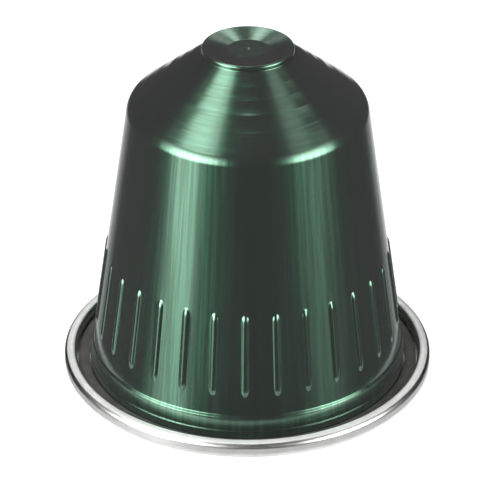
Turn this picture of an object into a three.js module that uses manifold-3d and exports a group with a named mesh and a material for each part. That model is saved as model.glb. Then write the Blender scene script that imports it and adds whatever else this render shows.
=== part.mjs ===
// A coffee pod standing on its rim: a drawn aluminium cup with its charge, a ring of sealing
// compound on the flange and a foil lid sealed underneath. Millimetres, +Z up.
import * as THREE from "three";
import { mergeVertices } from "three/addons/utils/BufferGeometryUtils.js";
import Module from "manifold-3d";

// Sheet and foil
const sheetThickness = 0.2;
const foilThickness = 0.12;
const foilInset = 0.9; // from the rim's edge in to the foil's

// Rolled edge of the rim: the sheet goes out, up, back over and down inside
const rimRadius = 18.5;
const flangeWidth = 2.6; // from the rim's edge in to the foot
const curlWidth = 1.25;
const curlHeight = 1.43;
const curlLowerBend = 0.35;
const curlUpperBend = 0.5;
const curlEndGap = 0.3; // from the sheet's cut edge down to the flange

// Foot, where the wall flares out to the flange
const stepHeight = 1.05;
const flareWidth = 0.41;
const flareHeight = 1.2;
const stepEdgeRadius = 0.16;
const flareCreaseRadius = 0.8;

// Wall, cone and shoulder
const wallHeight = 26.43;
const shoulderRadius = 11.75;
const shoulderBend = 0.92;
const coneHeight = 5.73;

// Lip and dished top
const lipRadius = 4.47;
const lipHeight = 0.52;
const lipBend = 0.2;
const neckBend = 0.6;
const neckWidth = 0.04;
const dishDepth = 0.32;
const discRadius = 2.03;
const discBend = 0.2;
const dimpleRadius = 0.27;
const dimpleDepth = 0.1;

// Ribs pressed out of the wall
const ribCount = 30;
const ribRadius = 0.5;
const ribSink = 0.2; // axis of a rib, inside the wall's surface
const ribLength = 7.64; // between the centres of its round ends
const ribStart = 2.8; // centre of the lower round end, above the flare

// Sealing ring on the flange
const ringHeight = 0.25;
const ringFootClearance = 0.06;
const ringCurlClearance = 0.12;

// Fineness of the round forms
const turns = 96;
const bendSteps = 3;
const ribSides = 8;
const ribEndSteps = 2;

// Heights above the table and radii that follow from the sizes above
const flangeTop = foilThickness + sheetThickness;
const stepTop = flangeTop + stepHeight;
const wallStart = stepTop + flareHeight;
const wallEnd = wallStart + wallHeight;
const coneEnd = wallEnd + coneHeight;
const lipTop = coneEnd + lipHeight;
const footRadius = rimRadius - flangeWidth;
const wallBaseRadius = footRadius - flareWidth;
const curlTop = foilThickness + curlHeight;
const curlInnerRadius = rimRadius - curlWidth;

const lacqueredGreen = new THREE.MeshStandardMaterial({ color: 0x1f5a42, roughness: 0.32, metalness: 0.9 });
const sealGrey = new THREE.MeshStandardMaterial({ color: 0x4a4644, roughness: 0.55, metalness: 0 });
const bareAluminium = new THREE.MeshStandardMaterial({ color: 0xc9c8c6, roughness: 0.3, metalness: 1 });

const wasm = await Module();
wasm.setup();

// Outline through [radius, height, bend] corners, each bend an arc tangent to both of its sides.
function bentOutline(corners) {
  const at = corners.map(([radius, height]) => new THREE.Vector2(radius, height));
  const points = [];
  corners.forEach(([, , bend], i) => {
    if (!bend) {
      points.push(at[i]);
      return;
    }
    const back = at[i - 1].clone().sub(at[i]).normalize();
    const ahead = at[i + 1].clone().sub(at[i]).normalize();
    const halfAngle = Math.acos(back.dot(ahead)) / 2;
    const centre = at[i].clone().add(back.clone().add(ahead).setLength(bend / Math.sin(halfAngle)));
    const reach = bend / Math.tan(halfAngle);
    const from = back.multiplyScalar(reach).add(at[i]).sub(centre).angle();
    const to = ahead.multiplyScalar(reach).add(at[i]).sub(centre).angle();
    const sweep = THREE.MathUtils.euclideanModulo(to - from + Math.PI, 2 * Math.PI) - Math.PI;
    for (let k = 0; k <= bendSteps; k++) {
      const angle = from + (sweep * k) / bendSteps;
      points.push(new THREE.Vector2(Math.cos(angle), Math.sin(angle)).multiplyScalar(bend).add(centre));
    }
  });
  return points;
}

// Section turned about Z. It starts and ends on the axis, or closes on itself.
function turned(points) {
  const geometry = new THREE.LatheGeometry(points, turns);
  geometry.rotateX(Math.PI / 2);
  return geometry;
}

function toSolid(geometry) {
  const bare = geometry.clone();
  bare.deleteAttribute("normal");
  bare.deleteAttribute("uv");
  const merged = mergeVertices(bare, 1e-4);
  return new wasm.Manifold(
    new wasm.Mesh({
      numProp: 3,
      vertProperties: merged.attributes.position.array,
      triVerts: new Uint32Array(merged.index.array),
    }),
  );
}

function toGeometry(solid) {
  const mesh = solid.getMesh();
  const geometry = new THREE.BufferGeometry();
  geometry.setAttribute("position", new THREE.BufferAttribute(mesh.vertProperties, 3));
  geometry.setIndex(new THREE.BufferAttribute(mesh.triVerts, 1));
  geometry.computeVertexNormals();
  return geometry;
}

// The sheet at the rim, from the underside's centre out, round the roll and back to the foot.
function rimCorners() {
  const innerBend = curlUpperBend - sheetThickness;
  const cutEdge = flangeTop + curlEndGap;
  return [
    [0, foilThickness, 0],
    [rimRadius, foilThickness, curlLowerBend],
    [rimRadius, curlTop, curlUpperBend],
    [curlInnerRadius, curlTop, curlUpperBend],
    [curlInnerRadius, cutEdge, 0],
    [curlInnerRadius + sheetThickness, cutEdge, 0],
    [curlInnerRadius + sheetThickness, curlTop - sheetThickness, innerBend],
    [rimRadius - sheetThickness, curlTop - sheetThickness, innerBend],
    [rimRadius - sheetThickness, flangeTop, curlLowerBend - sheetThickness],
  ];
}

// Foot step, flare, tapered wall, shoulder, cone, lip, dish and the dimple in its disc.
function shellCorners() {
  const discHeight = lipTop - dishDepth;
  return [
    [footRadius, flangeTop, 0],
    [footRadius, stepTop, stepEdgeRadius],
    [wallBaseRadius, wallStart, flareCreaseRadius],
    [shoulderRadius, wallEnd, shoulderBend],
    [lipRadius + neckWidth, coneEnd, neckBend],
    [lipRadius, lipTop, lipBend],
    [discRadius, discHeight, discBend],
    [dimpleRadius, discHeight, 0],
    [0, discHeight - dimpleDepth, 0],
  ];
}

// One rib: a round-ended bar along the wall's slope, most of it inside the wall.
function rib(index) {
  const taper = Math.atan2(wallBaseRadius - shoulderRadius, wallHeight);
  const along = ribStart + ribLength / 2;
  const geometry = new THREE.CapsuleGeometry(ribRadius, ribLength, ribEndSteps, ribSides);
  geometry.rotateY(Math.PI / ribSides);
  geometry.translate(-ribSink, along, 0);
  geometry.rotateZ(taper);
  geometry.translate(wallBaseRadius, wallStart, 0);
  geometry.rotateX(Math.PI / 2);
  geometry.rotateZ((2 * Math.PI * index) / ribCount - Math.PI / 2);
  return geometry;
}

function podBody() {
  let solid = toSolid(turned(bentOutline([...rimCorners(), ...shellCorners()])));
  for (let i = 0; i < ribCount; i++) {
    solid = solid.add(toSolid(rib(i)));
  }
  const mesh = new THREE.Mesh(toGeometry(solid), lacqueredGreen);
  mesh.name = "pod_body";
  return mesh;
}

function sealingRing() {
  const inner = footRadius + ringFootClearance;
  const outer = curlInnerRadius - ringCurlClearance;
  const section = [
    new THREE.Vector2(inner, flangeTop),
    new THREE.Vector2(outer, flangeTop),
    new THREE.Vector2(outer, flangeTop + ringHeight),
    new THREE.Vector2(inner, flangeTop + ringHeight),
    new THREE.Vector2(inner, flangeTop),
  ];
  const mesh = new THREE.Mesh(turned(section), sealGrey);
  mesh.name = "sealing_ring";
  return mesh;
}

function foilLid() {
  const radius = rimRadius - foilInset;
  const section = [
    new THREE.Vector2(0, 0),
    new THREE.Vector2(radius, 0),
    new THREE.Vector2(radius, foilThickness),
    new THREE.Vector2(0, foilThickness),
  ];
  const mesh = new THREE.Mesh(turned(section), bareAluminium);
  mesh.name = "foil_lid";
  return mesh;
}

const pod = new THREE.Group();
pod.add(podBody(), sealingRing(), foilLid());

export default pod;
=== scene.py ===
import math

import bpy
from mathutils import Matrix, Vector


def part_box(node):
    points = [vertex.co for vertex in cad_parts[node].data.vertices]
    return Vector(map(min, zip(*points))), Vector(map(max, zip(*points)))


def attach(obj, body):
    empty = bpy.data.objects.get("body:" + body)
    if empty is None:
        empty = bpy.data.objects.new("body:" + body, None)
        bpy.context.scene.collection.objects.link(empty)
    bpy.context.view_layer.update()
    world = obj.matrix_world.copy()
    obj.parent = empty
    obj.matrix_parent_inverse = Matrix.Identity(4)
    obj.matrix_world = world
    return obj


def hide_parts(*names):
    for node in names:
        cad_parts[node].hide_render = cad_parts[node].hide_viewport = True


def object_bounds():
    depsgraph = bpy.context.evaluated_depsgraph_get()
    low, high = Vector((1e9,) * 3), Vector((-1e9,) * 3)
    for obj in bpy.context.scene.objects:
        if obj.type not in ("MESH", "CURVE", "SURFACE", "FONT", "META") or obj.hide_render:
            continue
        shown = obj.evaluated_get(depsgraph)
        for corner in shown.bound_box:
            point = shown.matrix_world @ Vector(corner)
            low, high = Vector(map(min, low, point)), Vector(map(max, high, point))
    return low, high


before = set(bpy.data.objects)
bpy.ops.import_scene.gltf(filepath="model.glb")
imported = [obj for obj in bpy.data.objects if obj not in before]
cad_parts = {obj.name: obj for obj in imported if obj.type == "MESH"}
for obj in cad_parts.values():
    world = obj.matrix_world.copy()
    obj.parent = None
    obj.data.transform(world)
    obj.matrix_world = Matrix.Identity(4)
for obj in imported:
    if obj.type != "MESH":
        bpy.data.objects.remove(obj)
cadLow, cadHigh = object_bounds()
mm = 0.001


# Helpers for node trees: each makes one node and returns its output.
def linkOrSet(tree, socket, value):
    if isinstance(value, bpy.types.NodeSocket):
        tree.links.new(value, socket)
    elif value is not None:
        socket.default_value = value


def calc(tree, operation, first, second=None, third=None):
    node = tree.nodes.new("ShaderNodeMath")
    node.operation = operation
    for socket, value in zip(node.inputs, (first, second, third)):
        linkOrSet(tree, socket, value)
    return node.outputs[0]


def smoothRange(tree, value, fromLow, fromHigh, toLow=0.0, toHigh=1.0):
    node = tree.nodes.new("ShaderNodeMapRange")
    node.interpolation_type = "SMOOTHSTEP"
    values = (value, fromLow, fromHigh, toLow, toHigh)
    for socket, item in zip(node.inputs, values):
        linkOrSet(tree, socket, item)
    return node.outputs[0]


def combine(tree, x, y, z):
    node = tree.nodes.new("ShaderNodeCombineXYZ")
    for socket, value in zip(node.inputs, (x, y, z)):
        linkOrSet(tree, socket, value)
    return node.outputs[0]


def separate(tree, vector):
    node = tree.nodes.new("ShaderNodeSeparateXYZ")
    tree.links.new(vector, node.inputs[0])
    return node.outputs[0], node.outputs[1], node.outputs[2]


def noise(tree, vector, scale, detail, roughness):
    node = tree.nodes.new("ShaderNodeTexNoise")
    tree.links.new(vector, node.inputs["Vector"])
    node.inputs["Scale"].default_value = scale
    node.inputs["Detail"].default_value = detail
    node.inputs["Roughness"].default_value = roughness
    return node.outputs["Fac"]


def blendColour(tree, factor, first, second):
    node = tree.nodes.new("ShaderNodeMix")
    node.data_type = "RGBA"
    linkOrSet(tree, node.inputs["Factor"], factor)
    linkOrSet(tree, node.inputs["A"], first)
    linkOrSet(tree, node.inputs["B"], second)
    return node.outputs["Result"]


def bump(tree, height, distance):
    node = tree.nodes.new("ShaderNodeBump")
    node.inputs["Strength"].default_value = 1.0
    node.inputs["Distance"].default_value = distance
    tree.links.new(height, node.inputs["Height"])
    return node.outputs["Normal"]


def newMaterial(name):
    material = bpy.data.materials.new(name)
    material.use_nodes = True
    tree = material.node_tree
    shader = next(node for node in tree.nodes if node.type == "BSDF_PRINCIPLED")
    return material, tree, shader


# Place on the pod in millimetres: x, y, height and distance from the axis.
def podPlace(tree):
    coordinates = tree.nodes.new("ShaderNodeTexCoord")
    scaled = tree.nodes.new("ShaderNodeVectorMath")
    scaled.operation = "SCALE"
    tree.links.new(coordinates.outputs["Object"], scaled.inputs[0])
    scaled.inputs["Scale"].default_value = 1 / mm
    x, y, height = separate(tree, scaled.outputs[0])
    square = calc(tree, "MULTIPLY_ADD", x, x, calc(tree, "MULTIPLY", y, y))
    radius = calc(tree, "MAXIMUM", calc(tree, "SQRT", square), 0.001)
    return x, y, height, radius


greenLook = {
    "deepGreen": (0.007, 0.102, 0.040, 1),
    "paleGreen": (0.030, 0.170, 0.086, 1),
    "roughness": 0.22,
    "dishRoughness": 0.14,
    "streakRoughness": 0.12,
    "coatRoughness": 0.11,
    "coatIor": 1.80,
    "haze": 0.064,
    "fineStreak": 0.0045,  # heights of the draw marks, in millimetres
    "midStreak": 0.0115,
    "broadStreak": 0.020,
    "crossMark": 0.0030,
    "turningMark": 0.0018,
    "fineScale": 85.0,  # how closely the marks stand
    "midScale": 24.0,
    "broadScale": 9.0,
    "crossScale": 6.0,
    "ringScale": 4.0,
    "streakChange": 0.0016,  # how fast a mark changes along its length, less makes it longer
    "crossChange": 0.35,
    "ringChange": 0.4,
    "midTone": 0.6,  # shares of the marks in the colour
    "fineTone": 0.4,
    "ringTone": 0.45,
    "ringToneBase": 0.26,
    "toneEdges": (0.40, 0.60),
    "dishEdges": (3.9, 4.5),  # distances from the axis where the dish's smooth lacquer ends
    "ringEdges": (4.4, 4.8),  # and where the turning marks start
    "coneStart": 28.9,  # height above the table
    "coneBlend": 0.4,
}


# Green clear lacquer on bright drawn aluminium: draw marks up the wall, turning marks above it.
def greenLacquer():
    material, tree, shader = newMaterial("green_lacquer")
    x, y, height, radius = podPlace(tree)
    sideways = calc(tree, "DIVIDE", x, radius)
    forward = calc(tree, "DIVIDE", y, radius)
    lengthwise = calc(tree, "MULTIPLY", height, greenLook["streakChange"])
    streakPlace = combine(tree, sideways, forward, lengthwise)
    fine = noise(tree, streakPlace, greenLook["fineScale"], detail=1.0, roughness=0.5)
    mid = noise(tree, streakPlace, greenLook["midScale"], detail=2.0, roughness=0.5)
    broad = noise(tree, streakPlace, greenLook["broadScale"], detail=2.0, roughness=0.5)
    upward = calc(tree, "MULTIPLY", height, greenLook["crossChange"])
    crossPlace = combine(tree, sideways, forward, upward)
    cross = noise(tree, crossPlace, greenLook["crossScale"], detail=1.0, roughness=0.5)
    around = calc(tree, "MULTIPLY", sideways, greenLook["ringChange"])
    ringPlace = combine(tree, radius, around, 0.0)
    rings = noise(tree, ringPlace, greenLook["ringScale"], detail=2.0, roughness=0.7)
    coneStart, coneBlend = greenLook["coneStart"], greenLook["coneBlend"]
    onCone = smoothRange(tree, height, coneStart - coneBlend, coneStart + coneBlend)
    onWall = calc(tree, "SUBTRACT", 1.0, onCone)

    lines = calc(tree, "MULTIPLY", fine, greenLook["fineTone"])
    lines = calc(tree, "MULTIPLY_ADD", mid, greenLook["midTone"], lines)
    lines = calc(tree, "MULTIPLY", lines, onWall)
    turned = calc(tree, "MULTIPLY_ADD", rings, greenLook["ringTone"], greenLook["ringToneBase"])
    wear = calc(tree, "MULTIPLY_ADD", turned, onCone, lines)
    tone = smoothRange(tree, wear, *greenLook["toneEdges"])
    colour = blendColour(tree, tone, greenLook["deepGreen"], greenLook["paleGreen"])
    tree.links.new(colour, shader.inputs["Base Color"])
    gloss = greenLook["dishRoughness"], greenLook["roughness"]
    smooth = smoothRange(tree, radius, *greenLook["dishEdges"], *gloss)
    worn = calc(tree, "SUBTRACT", wear, 0.5)
    spread = calc(tree, "MULTIPLY_ADD", worn, greenLook["streakRoughness"], smooth)
    tree.links.new(spread, shader.inputs["Roughness"])

    streakHeight = calc(tree, "MULTIPLY", fine, greenLook["fineStreak"])
    streakHeight = calc(tree, "MULTIPLY_ADD", mid, greenLook["midStreak"], streakHeight)
    streakHeight = calc(tree, "MULTIPLY_ADD", broad, greenLook["broadStreak"], streakHeight)
    streakHeight = calc(tree, "MULTIPLY_ADD", cross, greenLook["crossMark"], streakHeight)
    streakHeight = calc(tree, "MULTIPLY", streakHeight, onWall)
    outside = smoothRange(tree, radius, *greenLook["ringEdges"])
    ringHeight = calc(tree, "MULTIPLY", rings, greenLook["turningMark"])
    ringHeight = calc(tree, "MULTIPLY", ringHeight, calc(tree, "MULTIPLY", onCone, outside))
    marks = bump(tree, calc(tree, "ADD", streakHeight, ringHeight), mm)
    tree.links.new(marks, shader.inputs["Normal"])

    shader.inputs["Metallic"].default_value = 1.0
    shader.inputs["Coat Weight"].default_value = 1.0
    shader.inputs["Coat Roughness"].default_value = greenLook["coatRoughness"]
    shader.inputs["Coat IOR"].default_value = greenLook["coatIor"]
    shader.inputs["Sheen Weight"].default_value = greenLook["haze"]
    shader.inputs["Sheen Roughness"].default_value = 1.0
    return material


aluminiumLook = {
    "brightMetal": (0.86, 0.86, 0.85, 1),
    "dullMetal": (0.70, 0.70, 0.69, 1),
    "roughness": 0.25,
    "streakRoughness": 0.10,
    "brushMark": 0.0005,
    "brushScale": 7.0,
    "waverScale": 2.5,
    "patchScale": 0.6,
    "toneEdges": (0.35, 0.65),
    "litCrownStart": 1.46,  # from this height on the roll's top is made partly non-metal so that the lamps light it bright, a painted highlight along the roll
    "litCrownBlend": 0.05,
    "litCrownMetal": 0.3,
}


# Bare satin aluminium, brushed along the round of the rim.
def bareAluminium():
    material, tree, shader = newMaterial("bare_aluminium")
    x, y, height, radius = podPlace(tree)
    sideways = calc(tree, "DIVIDE", x, radius)
    forward = calc(tree, "DIVIDE", y, radius)
    aroundPlace = combine(tree, sideways, forward, 0.0)
    waver = noise(tree, aroundPlace, aluminiumLook["waverScale"], detail=2.0, roughness=0.5)
    acrossPlace = combine(tree, radius, height, waver)
    brushed = noise(tree, acrossPlace, aluminiumLook["brushScale"], detail=5.0, roughness=0.7)
    patchPlace = combine(tree, x, y, height)
    patches = noise(tree, patchPlace, aluminiumLook["patchScale"], detail=4.0, roughness=0.6)
    wear = calc(tree, "MULTIPLY_ADD", patches, 0.5, calc(tree, "MULTIPLY", brushed, 0.5))
    tone = smoothRange(tree, wear, *aluminiumLook["toneEdges"])
    colour = blendColour(tree, tone, aluminiumLook["dullMetal"], aluminiumLook["brightMetal"])
    tree.links.new(colour, shader.inputs["Base Color"])
    streaks, plain = aluminiumLook["streakRoughness"], aluminiumLook["roughness"]
    spread = calc(tree, "MULTIPLY_ADD", brushed, streaks, plain)
    tree.links.new(spread, shader.inputs["Roughness"])
    marks = bump(tree, calc(tree, "MULTIPLY", brushed, aluminiumLook["brushMark"]), mm)
    tree.links.new(marks, shader.inputs["Normal"])
    # Painted highlight: the top of the roll is made partly non-metal, so the lamps light it bright
    # there.
    litCrownStart = aluminiumLook["litCrownStart"]
    litCrown = smoothRange(tree, height, litCrownStart, litCrownStart + aluminiumLook["litCrownBlend"])
    metallic = calc(tree, "MULTIPLY_ADD", litCrown, aluminiumLook["litCrownMetal"] - 1.0, 1.0)
    tree.links.new(metallic, shader.inputs["Metallic"])
    return material


sealLook = {
    "darkGrey": (0.050, 0.047, 0.046, 1),
    "paleGrey": (0.075, 0.071, 0.070, 1),
    "roughness": 0.38,
    "speckRoughness": 0.2,
    "grain": 0.004,
    "grainScale": 9.0,
    "cloudScale": 0.7,
    "toneEdges": (0.35, 0.65),
}


# Dried sealing compound: a matt rubbery grey with a fine grain.
def sealingCompound():
    material, tree, shader = newMaterial("sealing_compound")
    x, y, height = podPlace(tree)[:3]
    place = combine(tree, x, y, height)
    grain = noise(tree, place, sealLook["grainScale"], detail=4.0, roughness=0.6)
    cloud = noise(tree, place, sealLook["cloudScale"], detail=3.0, roughness=0.6)
    tone = smoothRange(tree, cloud, *sealLook["toneEdges"])
    colour = blendColour(tree, tone, sealLook["darkGrey"], sealLook["paleGrey"])
    tree.links.new(colour, shader.inputs["Base Color"])
    specks = sealLook["speckRoughness"]
    spread = calc(tree, "MULTIPLY_ADD", grain, specks, sealLook["roughness"] - specks / 2)
    tree.links.new(spread, shader.inputs["Roughness"])
    marks = bump(tree, calc(tree, "MULTIPLY", grain, sealLook["grain"]), mm)
    tree.links.new(marks, shader.inputs["Normal"])
    return material


# Outline through [radius, height, bend] corners, each bend an arc tangent to both of its sides.
def bentOutline(corners, bendSteps):
    places = [Vector((radius, height)) for radius, height, bend in corners]
    points = []
    for index, corner in enumerate(places):
        bend = corners[index][2]
        if not bend:
            points.append(corner)
            continue
        back = (places[index - 1] - corner).normalized()
        ahead = (places[index + 1] - corner).normalized()
        halfAngle = math.acos(back.dot(ahead)) / 2
        middle = (back + ahead).normalized()
        centre = corner + middle * (bend / math.sin(halfAngle))
        reach = bend / math.tan(halfAngle)
        start = corner + back * reach - centre
        finish = corner + ahead * reach - centre
        turn = start.angle_signed(finish)
        for step in range(bendSteps + 1):
            arm = Matrix.Rotation(-turn * step / bendSteps, 2) @ start
            points.append(centre + arm)
    return points


sections = {
    "longestPart": 0.5,  # straight parts of an outline are cut to this length or less
    "shortestCut": 0.3,  # and stay whole up to this length
    "endPoint": 0.05,  # from a straight part's end to the point added beside it
}


# Straight parts get a point close to each end, which keeps their shading flat, and more between.
def refined(points):
    fine = [points[0]]
    for point in points[1:]:
        start = fine[-1]
        length = (point - start).length
        if length > sections["shortestCut"]:
            near = sections["endPoint"] / length
            parts = math.ceil(length / sections["longestPart"])
            steps = [near] + [part / parts for part in range(1, parts)] + [1 - near]
            fine += [start.lerp(point, step) for step in sorted(steps)]
        fine.append(point)
    return fine


# Surface turned about the axis, from rows of points. A tip closes it in the middle.
def turnedMesh(name, rows, materials, tip=None):
    count = len(rows[0])
    vertices = [point for row in rows for point in row]
    faces = []
    for index in range(len(rows) - 1):
        low, high = index * count, (index + 1) * count
        for column in range(count):
            after = (column + 1) % count
            faces.append((low + column, low + after, high + after, high + column))
    if tip is not None:
        vertices.append(tip)
        last = (len(rows) - 1) * count
        for column in range(count):
            faces.append((last + column, last + (column + 1) % count, len(vertices) - 1))
    mesh = bpy.data.meshes.new(name)
    mesh.from_pydata(vertices, [], faces)
    mesh.polygons.foreach_set("use_smooth", [True] * len(mesh.polygons))
    for material in materials:
        mesh.materials.append(material)
    mesh.update()
    piece = bpy.data.objects.new(name, mesh)
    bpy.context.scene.collection.objects.link(piece)
    return piece


# A point of a section, turned about the axis. Angle 0 is the side towards the camera.
def turnedPoint(radius, height, angle):
    return (radius * math.sin(angle) * mm, -radius * math.cos(angle) * mm, height * mm)


def plainRows(points, turns):
    angles = [2 * math.pi * step / turns for step in range(turns)]
    return [[turnedPoint(point.x, point.y, angle) for angle in angles] for point in points]


rimRadius = cadHigh.x / mm
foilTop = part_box("foil_lid")[1].z / mm

rim = {
    "sheet": 0.2,
    "curlWidth": 1.25,
    "curlHeight": 1.43,
    "lowerBend": 0.35,
    "upperBend": 0.5,
    "cutEdgeGap": 0.3,
    "innerRadius": 15.2,  # hidden under the foot
    "bendSteps": 8,
    "turns": 300,
}
flangeTop = foilTop + rim["sheet"]
curlInnerRadius = rimRadius - rim["curlWidth"]

cup = {
    "footRadius": 15.9,
    "stepHeight": 1.05,
    "ledgeWidth": 0.08,  # thin ledge that catches the light above the step
    "ledgeHeight": 0.06,
    "ledgeBend": 0.04,
    "flareWidth": 0.41,
    "flareHeight": 1.55,
    "flareDrop": 0.2,  # from the wall's crease down to the edge of the flare
    "flareReach": 0.18,
    "flareBend": 0.14,
    "creaseBend": 0.16,
    "wallHeight": 26.08,
    "shoulderRadius": 11.75,
    "shoulderBend": 1.6,
    "coneHeight": 5.73,
    "lipRadius": 4.47,
    "lipHeight": 0.52,
    "lipBend": 0.2,
    "neckBend": 0.10,
    "neckWidth": 0.04,
    "dishDepth": 0.32,
    "discRadius": 2.03,
    "discBend": 0.2,
    "dimpleRadius": 0.27,
    "dimpleDepth": 0.1,
    "dimpleRings": (0.85, 0.6, 0.3),  # rows in the dimple, as shares of its radius
    "bendSteps": 8,
}

ribs = {
    "count": 30,
    "radius": 0.45,
    "sink": 0.27,
    "length": 7.0,
    "start": 2.8,
    "blend": 0.03,  # how softly a rib runs out into the wall
    "endSlope": 0.45,  # 1 ends a rib in a half ball, less draws the end out
    "plainBelow": -0.6,  # the wall stays plain where a rib's surface lies deeper than this
    "lowestRow": 0.3,  # rows of points below this have no ribs
    "offWall": 0.02,  # nor have rows further than this from the wall
    # degrees each side of a rib's middle
    "columns": (0.0, 0.3, 0.6, 0.85, 1.05, 1.2, 1.32, 1.45, 1.7, 2.6, 4.2),
    # rows of points: at each end of a rib, along it, and up the wall above it
    "endRows": (-0.95, -0.86, -0.79, -0.72, -0.62, -0.5, -0.36, -0.2, 0.0, 0.3),
    "middleRows": (0.2, 0.4, 0.6, 0.8),
    "wallRows": (0.5, 0.6, 0.7, 0.8, 0.9),
    "edgeRow": 0.05,
}

# Turning marks that stand out on the cone: distance from the axis and height of the mark.
turningMarks = {
    "places": (
        (5.76, 0.005),
        (6.86, 0.006),
        (8.04, 0.010),
        (9.50, 0.006),
        (9.85, 0.004),
        (10.2, 0.004),
    ),
    "halfWidth": 0.05,
    "rows": (1.0, 0.5, 0.0, -0.5, -1.0),  # across a mark, in half widths
}


def shellCorners():
    stepTop = flangeTop + cup["stepHeight"]
    wallStart = stepTop + cup["flareHeight"]
    wallEnd = wallStart + cup["wallHeight"]
    coneEnd = wallEnd + cup["coneHeight"]
    lipTop = coneEnd + cup["lipHeight"]
    discHeight = lipTop - cup["dishDepth"]
    wallRadius = cup["footRadius"] - cup["flareWidth"]
    return [
        [cup["footRadius"], flangeTop, 0],
        [cup["footRadius"], stepTop - cup["ledgeHeight"], cup["ledgeBend"]],
        [cup["footRadius"] - cup["ledgeWidth"], stepTop, cup["ledgeBend"]],
        [wallRadius + cup["flareReach"], wallStart - cup["flareDrop"], cup["flareBend"]],
        [wallRadius, wallStart, cup["creaseBend"]],
        [cup["shoulderRadius"], wallEnd, cup["shoulderBend"]],
        [cup["lipRadius"] + cup["neckWidth"], coneEnd, cup["neckBend"]],
        [cup["lipRadius"], lipTop, cup["lipBend"]],
        [cup["discRadius"], discHeight, cup["discBend"]],
        [cup["dimpleRadius"], discHeight, 0],
    ]


# How far a rib stands out of the wall, at a place measured up the wall and across the rib.
def ribHeight(along, across):
    past = max(ribs["start"] - along, along - ribs["start"] - ribs["length"], 0)
    past *= ribs["endSlope"]
    inside = ribs["radius"] ** 2 - past * past - across * across
    rise = math.copysign(math.sqrt(abs(inside)), inside) - ribs["sink"]
    soft = ribs["blend"]
    if rise <= ribs["plainBelow"]:
        return 0.0
    return (rise + math.sqrt(rise * rise + soft * soft)) / 2


def wallHeights(start, end):
    low, high = ribs["start"], ribs["start"] + ribs["length"]
    places = [low + step for step in ribs["endRows"]] + [high - step for step in ribs["endRows"]]
    places += [low + ribs["length"] * part for part in ribs["middleRows"]]
    places += [end * part for part in ribs["wallRows"]]
    places += [start + ribs["edgeRow"], end - ribs["edgeRow"]]
    return sorted(place for place in places if start < place < end)


def markHeight(radius):
    height = 0.0
    for place, rise in turningMarks["places"]:
        away = abs(radius - place) / turningMarks["halfWidth"]
        height += rise * max(0.0, 1 - away * away) ** 2 if away < 1 else 0.0
    return height


def cupRows():
    corners = shellCorners()
    outline = bentOutline(corners, cup["bendSteps"])
    base = Vector(corners[4][:2])
    slope = (Vector(corners[5][:2]) - base).normalized()
    outward = Vector((slope.y, -slope.x))
    conePart = (Vector(corners[6][:2]) - Vector(corners[5][:2])).normalized()
    coneOut = Vector((conePart.y, -conePart.x))
    first = 4 * (cup["bendSteps"] + 1)  # last point of the fourth bend, where the wall starts
    lower, upper = outline[first], outline[first + 1]
    wallPlaces = wallHeights((lower - base).dot(slope), (upper - base).dot(slope))
    wall = [base + slope * place for place in wallPlaces]
    coneFirst = first + 1 + cup["bendSteps"]
    cone = []
    bottom, neck = outline[coneFirst], outline[coneFirst + 1]
    for place, height in sorted(turningMarks["places"], reverse=True):
        for offset in turningMarks["rows"]:
            radius = place + offset * turningMarks["halfWidth"]
            part = (bottom.x - radius) / (bottom.x - neck.x)
            cone.append(bottom.lerp(neck, part) + coneOut * markHeight(radius))
    foot = refined(outline[: first + 1])
    shoulder = outline[first + 1 : coneFirst + 1]
    top = refined(outline[coneFirst + 1 :])
    points = foot + wall + shoulder + cone + top
    pitch = 360 / ribs["count"]
    offsets = [-value for value in reversed(ribs["columns"][1:])] + list(ribs["columns"])
    angles = [
        (math.radians(index * pitch + offset), math.radians(offset))
        for index in range(ribs["count"])
        for offset in offsets
    ]
    rows = []
    for point in points:
        along = (point - base).dot(slope)
        away = abs((point - base).dot(outward))
        onWall = along > ribs["lowestRow"] and away < ribs["offWall"]
        row = []
        for angle, offset in angles:
            rise = ribHeight(along, point.x * offset) if onWall else 0.0
            place = point + outward * rise
            row.append(turnedPoint(place.x, place.y, angle))
        rows.append(row)
    for part in cup["dimpleRings"]:
        radius = cup["dimpleRadius"] * part
        dip = cup["dimpleDepth"] * math.sqrt(1 - part * part)
        rows.append([turnedPoint(radius, outline[-1].y - dip, angle) for angle, offset in angles])
    return rows, outline[-1].y - cup["dimpleDepth"]


def makeCup(material):
    rows, bottom = cupRows()
    tip = (0, 0, bottom * mm)
    piece = turnedMesh("pod_cup", rows, [material], tip)
    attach(piece, "root")
    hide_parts("pod_body")


def makeRim(material):
    curlTop = foilTop + rim["curlHeight"]
    cutEdge = flangeTop + rim["cutEdgeGap"]
    sheet = rim["sheet"]
    innerBend = rim["upperBend"] - sheet
    corners = [
        [rim["innerRadius"], foilTop, 0],
        [rimRadius, foilTop, rim["lowerBend"]],
        [rimRadius, curlTop, rim["upperBend"]],
        [curlInnerRadius, curlTop, rim["upperBend"]],
        [curlInnerRadius, cutEdge, 0],
        [curlInnerRadius + sheet, cutEdge, 0],
        [curlInnerRadius + sheet, curlTop - sheet, innerBend],
        [rimRadius - sheet, curlTop - sheet, innerBend],
        [rimRadius - sheet, flangeTop, rim["lowerBend"] - sheet],
        [rim["innerRadius"], flangeTop, 0],
    ]
    points = refined(bentOutline(corners, rim["bendSteps"]))
    piece = turnedMesh("rolled_rim", plainRows(points, rim["turns"]), [material])
    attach(piece, "root")
    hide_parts("pod_body")


seal = {
    "footClearance": 0.06,
    "sag": 0.07,  # how much lower the ring is at its middle than at its edges
    "sagFullness": 0.8,  # 1 sags as a sine wave, less makes a flatter bottom
    "steps": 8,
    "turns": 240,
}


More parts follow.
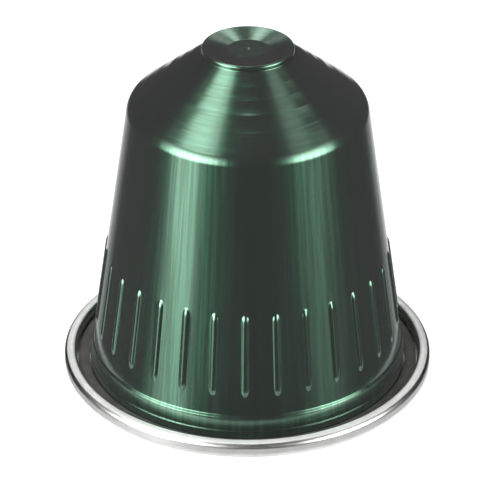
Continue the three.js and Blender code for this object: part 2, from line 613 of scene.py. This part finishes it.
def makeSeal(material):
    low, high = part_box("sealing_ring")
    outer = high.x / mm
    inner = cup["footRadius"] + seal["footClearance"]
    top, bottom = high.z / mm, low.z / mm
    points = [Vector((outer, bottom))]
    for step in range(seal["steps"] + 1):
        part = step / seal["steps"]
        dip = seal["sag"] * math.sin(math.pi * part) ** seal["sagFullness"]
        points.append(Vector((outer + (inner - outer) * part, top - dip)))
    points.append(Vector((inner, bottom)))
    piece = turnedMesh("sealing_compound_ring", plainRows(points, seal["turns"]), [material])
    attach(piece, "root")
    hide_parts("sealing_ring")


foil = {
    "sealWidth": 1.9,  # heat-sealed band at the edge
    "pressed": 0.03,
    "pressedEdge": 0.5,
    "wrinkle": 0.018,
    "wrinkleStart": 3,  # distance from the axis at which the wrinkles have their full height
    "foldsAround": 7,
    "foldWander": 1.3,
    "wanderAround": 3,
    "foldsAcross": 11,
    "foldTwist": 2,
    "rings": 36,
    "turns": 180,
}


def foilLift(radius, edge, angle):
    inside = edge - foil["sealWidth"]
    wander = foil["foldWander"] * math.sin(foil["wanderAround"] * angle)
    wave = math.sin(foil["foldsAround"] * angle + wander)
    wave *= math.sin(foil["foldsAcross"] * radius / edge + foil["foldTwist"] * angle)
    lift = foil["wrinkle"] * (1 + wave) / 2 * min(1, radius / foil["wrinkleStart"])
    if radius < inside:
        return lift + foil["pressed"] * min(1, (inside - radius) / foil["pressedEdge"])
    return 0.0


def makeFoil(material):
    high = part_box("foil_lid")[1]
    edge = high.x / mm
    top = high.z / mm
    radii = [edge * part / foil["rings"] for part in range(foil["rings"], 0, -1)]
    angles = [2 * math.pi * step / foil["turns"] for step in range(foil["turns"])]
    rows = [[turnedPoint(edge, top, angle) for angle in angles]]
    for radius in radii:
        rows.append([turnedPoint(radius, foilLift(radius, edge, angle), angle) for angle in angles])
    piece = turnedMesh("foil_membrane", rows, [material], (0, 0, foil["pressed"] * mm))
    piece.data.flip_normals()  # the underside faces the table
    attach(piece, "root")
    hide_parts("foil_lid")


print("materials")
greenMaterial = greenLacquer()
aluminiumMaterial = bareAluminium()
sealMaterial = sealingCompound()
print("cup")
makeCup(greenMaterial)
print("rim, seal and foil")
makeRim(aluminiumMaterial)
makeSeal(sealMaterial)
makeFoil(aluminiumMaterial)

# Where the camera stands, from the photograph's perspective.
cameraPlace = {
    "distance": 315.34,
    "elevation": 30.16,
    "azimuth": 0.7,
    "aimHeight": 14.0,
    "lens": 228.26,
    "sensor": 36.0,
    "shiftX": 0.0049,
    "shiftY": -0.0260,
    "roll": 0.183,
    "nearest": 0.01,  # metres
}


def makeCamera():
    camera = bpy.data.cameras.new("camera")
    camera.lens = cameraPlace["lens"]
    camera.sensor_width = cameraPlace["sensor"]
    camera.shift_x = cameraPlace["shiftX"]
    camera.shift_y = cameraPlace["shiftY"]
    camera.clip_start = cameraPlace["nearest"]
    item = bpy.data.objects.new("camera", camera)
    bpy.context.scene.collection.objects.link(item)
    azimuth = math.radians(cameraPlace["azimuth"])
    elevation = math.radians(cameraPlace["elevation"])
    flat = math.cos(elevation)
    away = Vector((math.sin(azimuth) * flat, -math.cos(azimuth) * flat, math.sin(elevation)))
    target = Vector((0, 0, cameraPlace["aimHeight"] * mm))
    turned = (-away).to_track_quat("-Z", "Y").to_matrix().to_4x4()
    roll = Matrix.Rotation(math.radians(cameraPlace["roll"]), 4, "Z")
    place = target + away * cameraPlace["distance"] * mm
    item.matrix_world = Matrix.Translation(place) @ turned @ roll
    bpy.context.scene.camera = item


studio = {
    "floorSize": 3.0,
    "floorColour": (0.80, 0.80, 0.80, 1),
    "floorRoughness": 0.9,
    "floorGlow": 0.35,  # added for the camera only, so that the floor comes out white
    "fill": 0.45,  # light from all round on what isn't mirrored
    "keyPlace": (-0.25, -0.25, 0.70),  # metres, as the lamps' sizes are
    "keySize": 0.60,
    "keyPower": 6.0,
    "sidePlace": (0.55, -0.20, 0.40),
    "sideSize": 0.45,
    "sidePower": 2.0,
}


def makeFloor():
    half = studio["floorSize"] / 2
    mesh = bpy.data.meshes.new("floor")
    corners = [(-half, -half, 0), (half, -half, 0), (half, half, 0), (-half, half, 0)]
    mesh.from_pydata(corners, [], [(0, 1, 2, 3)])
    floor = bpy.data.objects.new("floor", mesh)
    bpy.context.scene.collection.objects.link(floor)
    material, tree, shader = newMaterial("pale_floor")
    shader.inputs["Base Color"].default_value = studio["floorColour"]
    shader.inputs["Roughness"].default_value = studio["floorRoughness"]
    shader.inputs["Specular IOR Level"].default_value = 0.0
    rays = tree.nodes.new("ShaderNodeLightPath")
    glow = calc(tree, "MULTIPLY", rays.outputs["Is Camera Ray"], studio["floorGlow"])
    shader.inputs["Emission Color"].default_value = (1, 1, 1, 1)
    tree.links.new(glow, shader.inputs["Emission Strength"])
    mesh.materials.append(material)
    floor.visible_glossy = False  # what the metal mirrors is painted in the world


def makeLamp(name, place, size, power):
    lamp = bpy.data.lights.new(name, "AREA")
    lamp.size = size
    lamp.energy = power
    item = bpy.data.objects.new(name, lamp)
    bpy.context.scene.collection.objects.link(item)
    item.location = place
    item.rotation_mode = "QUATERNION"
    item.rotation_quaternion = (-Vector(place)).to_track_quat("-Z", "Y")
    item.visible_glossy = False


# Bright and dark sides of the studio as the metal mirrors them. A strip is the side of the pod on
# which it shows, half its width, how softly it ends and its brightness. A pair of angles is where a
# part fades in or out, by height, or for the sides by the way round from the front. In degrees.
mirrored = {
    "leftWindow": (-27.5, 11.5, 9.0, 10.0),
    "rightWindow": (32.5, 9.5, 7.0, 7.5),
    "windowRise": (-13.0, 3.0),
    "windowFall": (16.0, 54.0),
    "leftLow": (-29.5, 7.0, 5.0, 2.2),
    "rightLow": (32.5, 7.0, 5.0, 0.36),
    "lowRise": (-17.5, -15.8),
    "lowDimmed": 0.5,  # brightness of the low strips below that rise
    "lowFall": (-4.0, 4.0),
    "leftHigh": (-27.0, 9.5, 6.0, 3.6),
    "rightHigh": (29.5, 7.0, 5.0, 0.7),
    "highRise": (44.0, 56.0),
    "floorBehind": 1.0,
    "behindSides": (133.0, 182.0),
    "behindFall": (-20.0, -12.0),
    "floorNear": 0.95,
    "nearFall": (-34.0, -29.0),
    "backLight": 1.0,
    "backSides": (168.0, 175.0),
    "backRise": (31.5, 33.0),
    "backFall": (35.0, 37.0),
    "overhead": 3.0,
    "overheadRise": (83.5, 87.0),
}


def paintWorld():
    world = bpy.data.worlds.new("studio")
    bpy.context.scene.world = world
    world.use_nodes = True
    world.cycles.sampling_method = "NONE"
    tree = world.node_tree
    background = next(node for node in tree.nodes if node.type == "BACKGROUND")
    coordinates = tree.nodes.new("ShaderNodeTexCoord")
    x, y, z = separate(tree, coordinates.outputs["Generated"])
    degrees = 180 / math.pi
    elevation = calc(tree, "MULTIPLY", calc(tree, "ARCSINE", z), degrees)
    around = calc(tree, "ARCTAN2", x, calc(tree, "MULTIPLY", y, -1.0))
    azimuth = calc(tree, "ABSOLUTE", calc(tree, "MULTIPLY", around, degrees))
    toCamera = math.cos(math.radians(cameraPlace["elevation"]))
    # side of the pod on which this direction shows, seen from where the photograph was taken
    ahead = calc(tree, "SUBTRACT", toCamera, y)
    side = calc(tree, "MULTIPLY", calc(tree, "ARCTAN2", x, ahead), degrees)

    def both(first, second):
        return calc(tree, "MULTIPLY", first, second)

    def strip(name):
        centre, half, soft, brightness = mirrored[name]
        rise = smoothRange(tree, side, centre - half - soft, centre - half + soft)
        fall = smoothRange(tree, side, centre + half - soft, centre + half + soft, brightness, 0.0)
        return both(rise, fall)

    window = calc(tree, "ADD", strip("leftWindow"), strip("rightWindow"))
    window = both(window, smoothRange(tree, elevation, *mirrored["windowRise"]))
    window = both(window, smoothRange(tree, elevation, *mirrored["windowFall"], 1.0, 0.0))
    low = calc(tree, "ADD", strip("leftLow"), strip("rightLow"))
    low = both(low, smoothRange(tree, elevation, *mirrored["lowRise"], mirrored["lowDimmed"], 1.0))
    low = both(low, smoothRange(tree, elevation, *mirrored["lowFall"], 1.0, 0.0))
    high = calc(tree, "ADD", strip("leftHigh"), strip("rightHigh"))
    high = both(high, smoothRange(tree, elevation, *mirrored["highRise"]))
    behind = smoothRange(tree, azimuth, *mirrored["behindSides"], 0.0, mirrored["floorBehind"])
    behind = both(behind, smoothRange(tree, elevation, *mirrored["behindFall"], 1.0, 0.0))
    near = smoothRange(tree, elevation, *mirrored["nearFall"], mirrored["floorNear"], 0.0)
    back = smoothRange(tree, azimuth, *mirrored["backSides"], 0.0, mirrored["backLight"])
    back = both(back, smoothRange(tree, elevation, *mirrored["backRise"]))
    back = both(back, smoothRange(tree, elevation, *mirrored["backFall"], 1.0, 0.0))
    overhead = smoothRange(tree, elevation, *mirrored["overheadRise"], 0.0, mirrored["overhead"])
    total = window
    for part in (low, high, behind, back, overhead):
        total = calc(tree, "ADD", total, part)
    total = calc(tree, "MAXIMUM", total, near)
    rays = tree.nodes.new("ShaderNodeLightPath")
    glossy = rays.outputs["Is Glossy Ray"]
    seen = calc(tree, "MAXIMUM", rays.outputs["Is Camera Ray"], rays.outputs["Is Transmission Ray"])
    other = calc(tree, "SUBTRACT", 1.0, calc(tree, "MAXIMUM", seen, glossy))
    strength = calc(tree, "MULTIPLY_ADD", total, glossy, seen)
    strength = calc(tree, "MULTIPLY_ADD", other, studio["fill"], strength)
    background.inputs["Color"].default_value = (1, 1, 1, 1)
    tree.links.new(strength, background.inputs["Strength"])


print("camera, floor and light")
makeCamera()
makeFloor()
makeLamp("key_lamp", studio["keyPlace"], studio["keySize"], studio["keyPower"])
makeLamp("side_lamp", studio["sidePlace"], studio["sideSize"], studio["sidePower"])
paintWorld()

bpy.context.scene.view_settings.view_transform = "Standard"
